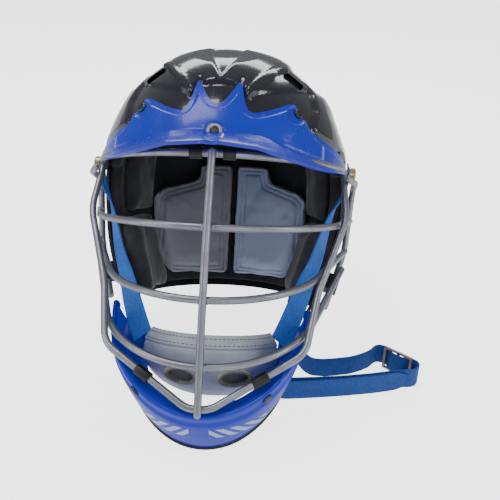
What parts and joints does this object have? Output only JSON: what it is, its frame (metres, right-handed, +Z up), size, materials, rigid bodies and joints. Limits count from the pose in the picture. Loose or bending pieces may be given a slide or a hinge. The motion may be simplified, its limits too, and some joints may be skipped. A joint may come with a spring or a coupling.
{
  "type": "field lacrosse helmet with wire face cage",
  "caption": "Sports helmet with a rigid shell, foam liner, brow visor, wire face cage, chin guard and a swinging chin cup on straps.",
  "frame": {"origin": "middle of the chin guard's flat underside, on the surface that the helmet rests on, in the plane that splits the helmet left from right", "axes": "+Z up from the resting surface, -Y out through the face cage, +X to the wearer's left"},
  "size_m": [0.3187, 0.3652, 0.2772],
  "materials": {
    "shell_plastic": "glossy black moulded shell",
    "foam": "black foam",
    "visor_plastic": "glossy royal blue",
    "guard_plastic": "glossy royal blue",
    "wire": "satin grey coated steel wire",
    "black_plastic": "black moulded",
    "screw_black": "dark coated screw",
    "washer_steel": "bright washer",
    "snap_brass": "worn brass",
    "pad_dark": "dark brushed knit over foam",
    "pad_grey": "grey blue knit over foam",
    "cup_vinyl": "pale grey soft vinyl",
    "cup_foam": "pale grey lining",
    "strap_blue": "bright blue coated webbing",
    "web_blue": "blue woven webbing",
    "slider_nickel": "dull nickel"
  },
  "bodies": {
    "helmet": {"back_pad_left": "pad_grey", "back_pad_right": "pad_dark", "brow_pad": "pad_dark", "centre_bar": "wire", "chin_clips": "black_plastic", "chin_guard": "guard_plastic", "chin_screws": "screw_black", "crown_pad": "pad_dark", "foam_liner": "foam", "jaw_clips": "black_plastic", "jaw_pad_left": "pad_dark", "jaw_pad_right": "pad_dark", "loose_strap": "web_blue", "lower_cross_bar": "wire", "middle_cross_bar": "wire", "perimeter_bar": "wire", "shell": "shell_plastic", "side_bar_left": "wire", "side_bar_right": "wire", "side_pad_left": "pad_dark", "side_pad_right": "pad_dark", "strap_slider": "slider_nickel", "temple_studs": "snap_brass", "top_bar": "wire", "top_bar_clamps": "black_plastic", "upper_cross_bar": "wire", "visor": "visor_plastic", "visor_centre_screw": "screw_black", "visor_centre_washer": "washer_steel", "visor_side_screws": "screw_black"},
    "chin_strap": {"temple_caps": "snap_brass", "chin_strap_left": "strap_blue", "chin_strap_right": "strap_blue", "chin_cup": "cup_vinyl", "chin_cup_lining": "cup_foam"}
  },
  "joints": [
    {"name": "chin_strap_swing", "type": "hinge", "parent": "helmet", "child": "chin_strap", "pos_m": [0, 0.18118, 0.17398], "axis": [1, 0, 0], "range_deg": [-6, 14]}
  ]
}
